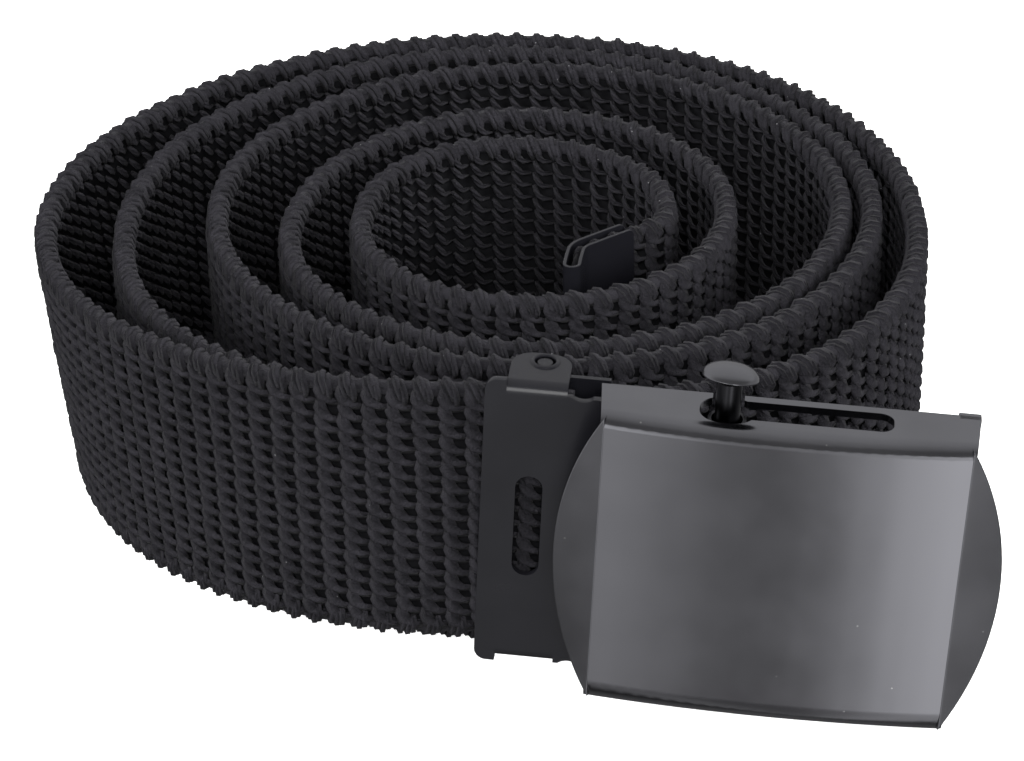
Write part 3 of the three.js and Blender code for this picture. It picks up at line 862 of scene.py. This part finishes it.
def flap_channel():
    """The clamp's two flaps and what is between them, bent from one strip."""
    reach = CLAMP_DEPTH + FLAP_REACH
    rows = [(reach, CLAMP_BOTTOM)]
    for i in range(BEND_ROWS + 1):
        turn = math.pi / 2 * i / BEND_ROWS
        rows.append((CLAMP_DEPTH + CLAMP_BEND * (1 - math.sin(turn)),
                     CLAMP_BOTTOM + CLAMP_BEND * (1 - math.cos(turn))))
    rows += [(depth, CLAMP_BOTTOM + CLAMP_TOP - height) for depth, height in reversed(rows)]
    bm = bmesh.new()
    bmesh.ops.create_grid(bm, x_segments=1, y_segments=len(rows) - 1, size=1)
    for vert in bm.verts:
        depth, height = rows[round((vert.co.y + 1) / 2 * (len(rows) - 1))]
        along = FLAP_LEFT if vert.co.x < 0 else FLAP_RIGHT
        vert.co = Vector((along, depth, height))
    corners = [v for v in bm.verts if len(v.link_edges) == 2]
    bmesh.ops.bevel(bm, geom=corners, offset=FLAP_CORNER, segments=CORNER_STEPS, profile=0.5,
                    affect="VERTICES", material=-1)
    return folded_sheet(bm, "flap_channel")


def end_clamp(steel):
    front = CLAMP_DEPTH
    back = CLAMP_DEPTH + SHEET
    tongue_top = min(CLAMP_TOP, COVER_HEIGHT) - SHEET - GAP
    tongue_bottom = SHEET + GAP
    middle = (CLAMP_BOTTOM + CLAMP_TOP) / 2
    edge = block(CLAMP_LEFT, FLAP_LEFT, front, back, CLAMP_BOTTOM - CLAMP_LIP, CLAMP_TOP + CLAMP_LIP,
                 CLAMP_CORNER, "y", lambda spot: spot.x < (CLAMP_LEFT + FLAP_LEFT) / 2)
    between = block(FLAP_LEFT - SHEET, FLAP_RIGHT + SHEET, front, back,
                    CLAMP_BOTTOM + CLAMP_BEND, CLAMP_TOP - CLAMP_BEND)
    tongue = block(FLAP_RIGHT, CLAMP_RIGHT, front, back, tongue_bottom, tongue_top)
    plate = combined("UNION", edge, [between, tongue, flap_channel()])
    window = block(WINDOW_MIDDLE - WINDOW_WIDTH / 2, WINDOW_MIDDLE + WINDOW_WIDTH / 2,
                   front - SHEET, back + SHEET,
                   middle - WINDOW_LENGTH / 2, middle + WINDOW_LENGTH / 2, WINDOW_WIDTH / 2.01, "y")
    notch_along = FLAP_RIGHT + RELIEF_RADIUS
    rise = RELIEF_RADIUS - RELIEF_DEPTH
    notches = [rod((notch_along, front + SHEET / 2, height), RELIEF_RADIUS, "y", SHEET)
               for height in (tongue_top + rise, tongue_bottom - rise)]
    hole = rod((PIVOT_ALONG, PIVOT_DEPTH, middle), PIVOT_RADIUS + GAP, "z", CLAMP_TOP)
    mesh = crisp(combined("DIFFERENCE", plate, [window, *notches, hole]), angle=30, rounding=0.15 * MM)
    return in_place("clamp_plate", mesh, BELT, "blackened_sheet", steel, "end_clamp")


def spun(profile, along, depth, closed=False):
    """A turned piece on an upright axis, from a profile of radius and height."""
    bm = bmesh.new()
    verts = [bm.verts.new((along + radius, depth, height)) for radius, height in profile]
    ends = zip(verts, verts[1:] + verts[:1]) if closed else zip(verts, verts[1:])
    edges = [bm.edges.new(pair) for pair in ends]
    bmesh.ops.spin(bm, geom=verts + edges, cent=(along, depth, 0), axis=(0, 0, 1),
                   angle=2 * math.pi, steps=ROUND_STEPS, use_merge=True)
    bmesh.ops.remove_doubles(bm, verts=bm.verts[:], dist=0.001 * MM)
    bmesh.ops.recalc_face_normals(bm, faces=bm.faces[:])
    return to_mesh(bm, "spun")


PIVOT_SUNK = 0.55 * MM
PIVOT_DOME = 0.25 * MM

# The eyelet's raised rim: millimetres beyond the hole, and raised from the flap
EYELET_RIM = (
    dict(beyond=0.00, raised=0.14),
    dict(beyond=0.12, raised=0.26),
    dict(beyond=0.30, raised=0.18),
    dict(beyond=0.50, raised=-0.04),
)


def eyelet(steel, number, top, up):
    """The raised rim of a flap's hole, with the domed end of the pivot sunk in it."""
    wall = SHEET / 2
    rim = [(PIVOT_RADIUS + GAP + row["beyond"] * MM, row["raised"] * MM) for row in EYELET_RIM]
    rim = [(PIVOT_RADIUS + GAP, -wall), *rim, (rim[2][0], -wall)]
    shoulder = -PIVOT_SUNK - PIVOT_DOME
    dome = [(0, shoulder - wall), (PIVOT_RADIUS, shoulder - wall), (PIVOT_RADIUS, shoulder)]
    dome += [(PIVOT_RADIUS * math.cos(a), shoulder + PIVOT_DOME * math.sin(a)) for a in (0.4, 0.8, 1.2)]
    dome.append((0, -PIVOT_SUNK))
    rim = [(radius, top + up * height) for radius, height in rim]
    dome = [(radius, top + up * height) for radius, height in dome]
    ring = spun(rim, PIVOT_ALONG, PIVOT_DEPTH, closed=True)
    pin = spun(dome, PIVOT_ALONG, PIVOT_DEPTH)
    mesh = joined("eyelet", ring, pin)
    mesh.shade_smooth()
    return in_place(f"eyelet_{number}", mesh, BELT, "blackened_sheet", steel)


def arc(centre, radius, start, end):
    """Points of a profile round a corner, from one angle to another in degrees."""
    angles = [math.radians(start + (end - start) * i / ARC_STEPS) for i in range(ARC_STEPS + 1)]
    return [(centre[0] + radius * math.cos(a), centre[1] + radius * math.sin(a)) for a in angles]


BAR_TOP = COVER_HEIGHT - SHEET - GAP


def slider_knob(lit_head_steel, shaded_stem_steel):
    """A low domed head on a stem. The head leans back and to the right a little on its stem."""
    bottom = BAR_TOP - STEM_SEAT
    underside = COVER_HEIGHT + KNOB_NECK
    stem = [(0, bottom), (STEM_RADIUS, bottom)]
    stem += reversed(arc((STEM_RADIUS + KNOB_FILLET, underside - KNOB_FILLET), KNOB_FILLET, 90, 180))
    stem.append((0, underside + KNOB_RIM))
    head = [(0, underside), (KNOB_RADIUS - KNOB_RIM, underside)]
    head += arc((KNOB_RADIUS - KNOB_RIM, underside + KNOB_RIM), KNOB_RIM, -60, 30)
    crown = underside + 1.5 * KNOB_RIM
    head += [((KNOB_RADIUS - 0.1 * KNOB_RIM) * math.cos(a), crown + KNOB_DOME * math.sin(a))
             for a in (math.pi / 2 * i / 10 for i in range(1, 10))]
    head.append((0, crown + KNOB_DOME))
    cap = spun(head, BAR_ALONG, SLOT_MIDDLE)
    pivot = Vector((BAR_ALONG, SLOT_MIDDLE, underside))
    back = Matrix.Rotation(math.radians(-KNOB_LEAN), 4, "X")
    lean = Matrix.Rotation(math.radians(KNOB_DROOP), 4, "Y") @ back
    cap.transform(Matrix.Translation(pivot) @ lean @ Matrix.Translation(-pivot))
    shank = crisp(spun(stem, BAR_ALONG, SLOT_MIDDLE), angle=50, rounding=0.05 * MM)
    mesh = joined("slider_knob", shank, crisp(cap, angle=60, rounding=0.04 * MM))
    in_place("knob_turned", mesh, SLIDER, "blackened_bar", lit_head_steel, "slider_knob")
    # The stem takes the darker copy of the steel, as painted shade
    mesh.materials.append(shaded_stem_steel)
    for face in mesh.polygons[:len(shank.polygons)]:
        face.material_index = 1


def slider_bar(steel):
    bottom = SHEET + GAP
    seat = STEM_RADIUS + GAP
    seat_floor = BAR_TOP - STEM_SEAT - GAP
    profile = [(0, BAR_PIN_FOOT), (BAR_PIN_RADIUS, BAR_PIN_FOOT), (BAR_PIN_RADIUS, bottom),
               (BAR_RADIUS - BAR_CHAMFER, bottom), (BAR_RADIUS, bottom + BAR_CHAMFER), (BAR_RADIUS, BAR_TOP),
               (seat, BAR_TOP), (seat, seat_floor), (0, seat_floor)]
    mesh = crisp(spun(profile, BAR_ALONG, SLOT_MIDDLE), rounding=0.05 * MM)
    return in_place("bar_turned", mesh, SLIDER, "blackened_bar", steel, "slider_bar")


def belt_tip(steel):
    """A thin sheet folded round the free end."""
    free_end = free_end_points()
    length = free_end[-1][1]
    course = [place for place, travelled in free_end if travelled > length - TIP_LENGTH]
    radius = (TIP_GAP + TIP_SHEET) / 2
    heading = (course[-1] - course[-2]).normalized()
    outward = Vector((-heading.y, heading.x, 0))

    def leaf(side):
        points = []
        for i, place in enumerate(course):
            ahead = (course[min(i + 1, len(course) - 1)] - course[max(i - 1, 0)]).normalized()
            points.append(place + Vector((-ahead.y, ahead.x, 0)) * (side * radius))
        return points

    fold = []
    for angle in range(TIP_FOLD_STEP, 180, TIP_FOLD_STEP):
        turn = math.radians(angle)
        fold.append(course[-1] + outward * (radius * math.cos(turn)) + heading * (radius * math.sin(turn)))
    path = leaf(1) + fold + leaf(-1)[::-1]
    bm = bmesh.new()
    bmesh.ops.create_grid(bm, x_segments=len(path) - 1, y_segments=1, size=1)
    for vert in bm.verts:
        place = path[round((vert.co.x + 1) / 2 * (len(path) - 1))]
        vert.co = Vector((place.x, place.y, WEB_WIDTH * (vert.co.y + 1) / 2))
    corners = [v for v in bm.verts if len(v.link_edges) == 2]
    bmesh.ops.bevel(bm, geom=corners, offset=TIP_CORNER, segments=5, profile=0.5,
                    affect="VERTICES", material=-1)
    bmesh.ops.recalc_face_normals(bm, faces=bm.faces[:])
    wall = dict(thickness=TIP_SHEET, offset=0, use_even_offset=True)
    mesh = crisp(evaluated(to_mesh(bm, "belt_tip"), ("SOLIDIFY", wall)), angle=50, rounding=0.08 * MM)
    mesh.materials.append(steel)
    new_piece("tip_channel", mesh, BELT, "blackened_sheet", "belt_tip")


# The set

def floor():
    """White paper with its own glow, so that the belt throws hardly a shadow."""
    bm = bmesh.new()
    bmesh.ops.create_grid(bm, x_segments=1, y_segments=1, size=2.5)
    mesh = to_mesh(bm, "floor", smooth=False)
    material, _, _ = new_material("floor_white", Base_Color=(0.85, 0.85, 0.85, 1), Roughness=0.9,
                                  Emission_Color=(1, 1, 1, 1), Emission_Strength=0.8)
    mesh.materials.append(material)
    plane = bpy.data.objects.new("floor", mesh)
    bpy.context.scene.collection.objects.link(plane)
    plane.visible_glossy = False
    plane.visible_diffuse = False


# What metal sees below the horizon: degrees to the right of the camera's side, and how bright it is there
PAPER = (
    dict(azimuth=-180, bright=0.25),
    dict(azimuth=-80, bright=0.15),
    dict(azimuth=-60, bright=0.06),
    dict(azimuth=-44, bright=0.04),
    dict(azimuth=-33, bright=0.60),
    dict(azimuth=-26, bright=0.62),
    dict(azimuth=-16, bright=0.30),
    dict(azimuth=-9, bright=0.18),
    dict(azimuth=-2, bright=0.36),
    dict(azimuth=6, bright=1.20),
    dict(azimuth=14, bright=1.60),
    dict(azimuth=23, bright=0.45),
    dict(azimuth=32, bright=0.10),
    dict(azimuth=60, bright=0.12),
    dict(azimuth=180, bright=0.25),
)
UNDER = 0.48
UNDER_START = -0.54
UNDER_END = -0.74

# What it sees above: degrees from the horizon behind the camera, over the top, to that behind the belt
ROOM = (
    dict(height=0, bright=0.12),
    dict(height=15, bright=0.14),
    dict(height=40, bright=0.16),
    dict(height=65, bright=0.30),
    dict(height=100, bright=0.42),
    dict(height=135, bright=0.46),
    dict(height=160, bright=0.46),
    dict(height=180, bright=0.30),
)

# A bright strip along the horizon, by azimuth
STRIP = (
    dict(azimuth=-180, bright=0.35),
    dict(azimuth=-60, bright=0.60),
    dict(azimuth=-36, bright=0.95),
    dict(azimuth=-24, bright=1.15),
    dict(azimuth=-17, bright=0.60),
    dict(azimuth=-10, bright=0.30),
    dict(azimuth=-2, bright=0.45),
    dict(azimuth=8, bright=0.90),
    dict(azimuth=14, bright=1.20),
    dict(azimuth=30, bright=0.30),
    dict(azimuth=180, bright=0.35),
)
STRIP_START = 0.06
STRIP_END = 0.16
HORIZON_START = -0.45
HORIZON_END = -0.38
DIFFUSE_SHARE = 0.20


def ramp(tree, factor, stops):
    node = tree.nodes.new("ShaderNodeValToRGB")
    elements = node.color_ramp.elements
    while len(elements) < len(stops):
        elements.new(1)
    for element, (place, bright) in zip(elements, stops):
        element.position = place
        element.color = (bright, bright, bright * 1.02, 1)
    tree.links.new(factor, node.inputs["Fac"])
    return node.outputs["Color"]


def surround():
    world = bpy.data.worlds.new("studio")
    bpy.context.scene.world = world
    world.use_nodes = True
    tree = world.node_tree
    split = tree.nodes.new("ShaderNodeSeparateXYZ")
    tree.links.new(tree.nodes.new("ShaderNodeTexCoord").outputs["Generated"], split.inputs[0])
    sideways, away, up = split.outputs
    front = maths(tree, "MULTIPLY", away, -1)
    azimuth = maths(tree, "MULTIPLY_ADD", maths(tree, "ARCTAN2", sideways, front), 0.5 / math.pi, 0.5)
    below = ramp(tree, azimuth, [(row["azimuth"] / 360 + 0.5, row["bright"]) for row in PAPER])
    over = maths(tree, "DIVIDE", maths(tree, "ARCTAN2", maths(tree, "MAXIMUM", up, 0), front), math.pi)
    room = ramp(tree, over, [(row["height"] / 180, row["bright"]) for row in ROOM])
    strip = ramp(tree, azimuth, [(row["azimuth"] / 360 + 0.5, row["bright"]) for row in STRIP])
    above = blended(tree, ranged(tree, up, STRIP_START, STRIP_END), strip, room)
    colour = blended(tree, ranged(tree, up, HORIZON_START, HORIZON_END), below, above)
    background = tree.nodes["Background"]
    tree.links.new(colour, background.inputs["Color"])
    under = ranged(tree, up, UNDER_START, UNDER_END, 1.0, UNDER)
    diffuse = tree.nodes.new("ShaderNodeLightPath").outputs["Is Diffuse Ray"]
    strength = maths(tree, "MULTIPLY", under, ranged(tree, diffuse, 0.0, 1.0, 1.0, DIFFUSE_SHARE))
    tree.links.new(strength, background.inputs["Strength"])


# The soft lights round the belt, which all look at its foot: metres and watts
SOFTBOXES = (
    dict(name="overhead", place=(0.0, -0.2, 0.9), size=0.6, power=1.6),
    dict(name="front", place=(0.0, -0.9, 0.55), size=0.6, power=12),
    dict(name="left", place=(-0.8, -0.25, 0.35), size=0.5, power=8),
    dict(name="right", place=(0.8, -0.35, 0.35), size=0.5, power=10),
    dict(name="back", place=(0.1, 0.9, 0.4), size=0.6, power=12),
)

# The light whose streak runs along the bend of the clamp's upper flap, in the buckle's own directions
GLINT_AIM = Vector(((FLAP_LEFT + FLAP_RIGHT) / 2, CLAMP_DEPTH, CLAMP_TOP))
GLINT_PLACE = GLINT_AIM + Vector((-17, -143, 42)) * MM
GLINT_SIZE = 80 * MM
GLINT_POWER = 0.06


def area_lamp(name, place, aim, size, power):
    light = bpy.data.lights.new(name, "AREA")
    light.size = size
    light.energy = power
    lamp = bpy.data.objects.new(name, light)
    lamp.location = place
    lamp.rotation_euler = (aim - place).to_track_quat("-Z", "Y").to_euler()
    bpy.context.scene.collection.objects.link(lamp)
    return lamp


def softbox(name, place, size, power):
    """A round soft light for the cloth, which the metal doesn't mirror."""
    lamp = area_lamp(name, Vector(place), Vector(), size, power)
    lamp.data.shape = "DISK"
    lamp.visible_glossy = False


def glint(piece):
    """A small soft light that shows as a streak on the bend of one piece."""
    lamp = area_lamp("clamp_glint", BUCKLE @ GLINT_PLACE, BUCKLE @ GLINT_AIM, GLINT_SIZE, GLINT_POWER)
    lamp.visible_camera = False
    lamp.visible_diffuse = False
    only = bpy.data.collections.new("clamp_glint")
    only.objects.link(piece)
    lamp.light_linking.receiver_collection = only


# The photo's camera, found from the even ribs round the roll: its place from the roll's axis, and its turns
CAMERA_PLACE = Vector((3.75, -333.9, 196.63)) * MM
CAMERA_PITCH = 29.64
CAMERA_ROLL = -1.302
CAMERA_FOCAL = 3159.3
PHOTO_WIDTH = 1024
SENSOR = 36


def camera():
    data = bpy.data.cameras.new("camera")
    data.sensor_width = SENSOR
    data.lens = CAMERA_FOCAL / PHOTO_WIDTH * SENSOR
    data.clip_start = 0.01
    body = bpy.data.objects.new("camera", data)
    pitch = math.radians(CAMERA_PITCH)
    roll = math.radians(CAMERA_ROLL)
    forward = Vector((0, math.cos(pitch), -math.sin(pitch)))
    level = Vector((1, 0, 0))
    upright = Vector((0, math.sin(pitch), math.cos(pitch)))
    right = level * math.cos(roll) + upright * math.sin(roll)
    up = upright * math.cos(roll) - level * math.sin(roll)
    turned = Matrix((right, up, -forward)).transposed().to_4x4()
    body.matrix_world = Matrix.Translation(ROLL_AXIS + CAMERA_PLACE) @ turned
    bpy.context.scene.collection.objects.link(body)
    bpy.context.scene.camera = body


camera()
surround()
floor()
for box in SOFTBOXES:
    softbox(**box)

DUST = dust_group()
FINISH = finish_group()
canvas = canvas_material()
painted_shade_ground = painted_shade_ground_material()
cover_steel = steel_material("blackened_cover", colour=(0.27, 0.27, 0.287), roughness=0.2)
clamp_steel = steel_material("black_lacquer", colour=(0.007, 0.007, 0.009), roughness=0.25,
                             metallic=0.0, ior=1.6)
# One blackened steel in two copies: a lighter one for the knob's head, as painted highlight, and a darker
# one for the bar and the knob's stem, as painted shade
lit_knob_steel = steel_material("blackened_knob_lit", colour=(0.28, 0.28, 0.297), roughness=0.24)
shaded_bar_steel = steel_material("blackened_bar", colour=(0.06, 0.06, 0.065), roughness=0.3)

course = WebCourse(web_stations())
webbing_ground(course, painted_shade_ground)
edge_cords(course, canvas)
webbing(course, canvas)
buckle_cover(cover_steel)
glint(end_clamp(clamp_steel))
eyelet(clamp_steel, 1, CLAMP_TOP, 1)
eyelet(clamp_steel, 2, CLAMP_BOTTOM, -1)
dressed_copy("back_frame", clamp_steel, "blackened_sheet")
# The bar takes the darker copy of the steel, as painted shade
slider_bar(shaded_bar_steel)
slider_knob(lit_knob_steel, shaded_bar_steel)
belt_tip(clamp_steel)

bpy.context.scene.view_settings.view_transform = "Standard"
